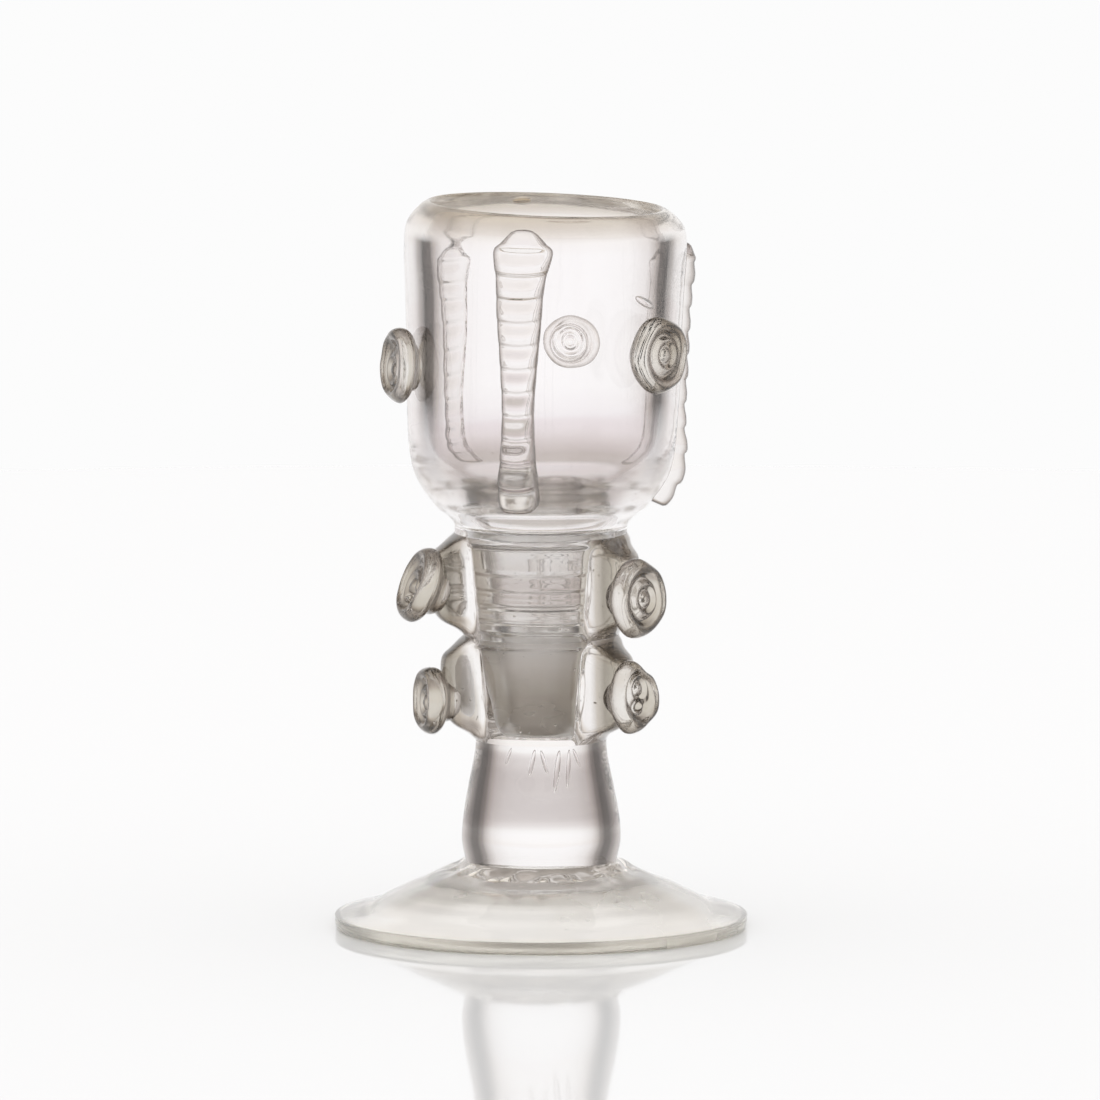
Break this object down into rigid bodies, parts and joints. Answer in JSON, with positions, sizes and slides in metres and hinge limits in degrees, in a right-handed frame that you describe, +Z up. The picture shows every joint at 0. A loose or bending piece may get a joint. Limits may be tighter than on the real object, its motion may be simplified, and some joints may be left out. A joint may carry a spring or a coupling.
{
  "type": "footed prunted glass",
  "caption": "Thick blown drinking glass: incurved bowl with pinched trails and prunts over lobed hollow knops, solid stem and trumpet foot.",
  "frame": {"origin": "centre of the ring that the foot rests on, at the surface it stands on", "axes": "+Z up along the glass's axis; -Y is the side with the trail that faces the viewer in the picture, +X to its right"},
  "size_m": [0.0926, 0.0926, 0.1637],
  "materials": {
    "clear_glass": "fire-polished clear glass",
    "knop_glass": "fire-polished clear glass with seed bubbles",
    "trail_glass": "fire-polished clear glass, pinched",
    "prunt_glass": "fire-polished clear glass, tooled",
    "foot_glass": "fire-polished clear glass with a straw tint"
  },
  "bodies": {
    "root": {"bowl": "clear_glass", "trail_front": "trail_glass", "trail_right": "trail_glass", "trail_left": "trail_glass", "bowl_prunt_right": "prunt_glass", "bowl_prunt_back": "prunt_glass", "bowl_prunt_left": "prunt_glass", "upper_knop": "knop_glass", "upper_knop_prunt_right": "prunt_glass", "upper_knop_prunt_back": "prunt_glass", "upper_knop_prunt_left": "prunt_glass", "lower_knop": "knop_glass", "lower_knop_prunt_right": "prunt_glass", "lower_knop_prunt_back": "prunt_glass", "lower_knop_prunt_left": "prunt_glass", "stem": "clear_glass", "foot": "foot_glass", "pontil_pad": "foot_glass"}
  },
  "joints": []
}
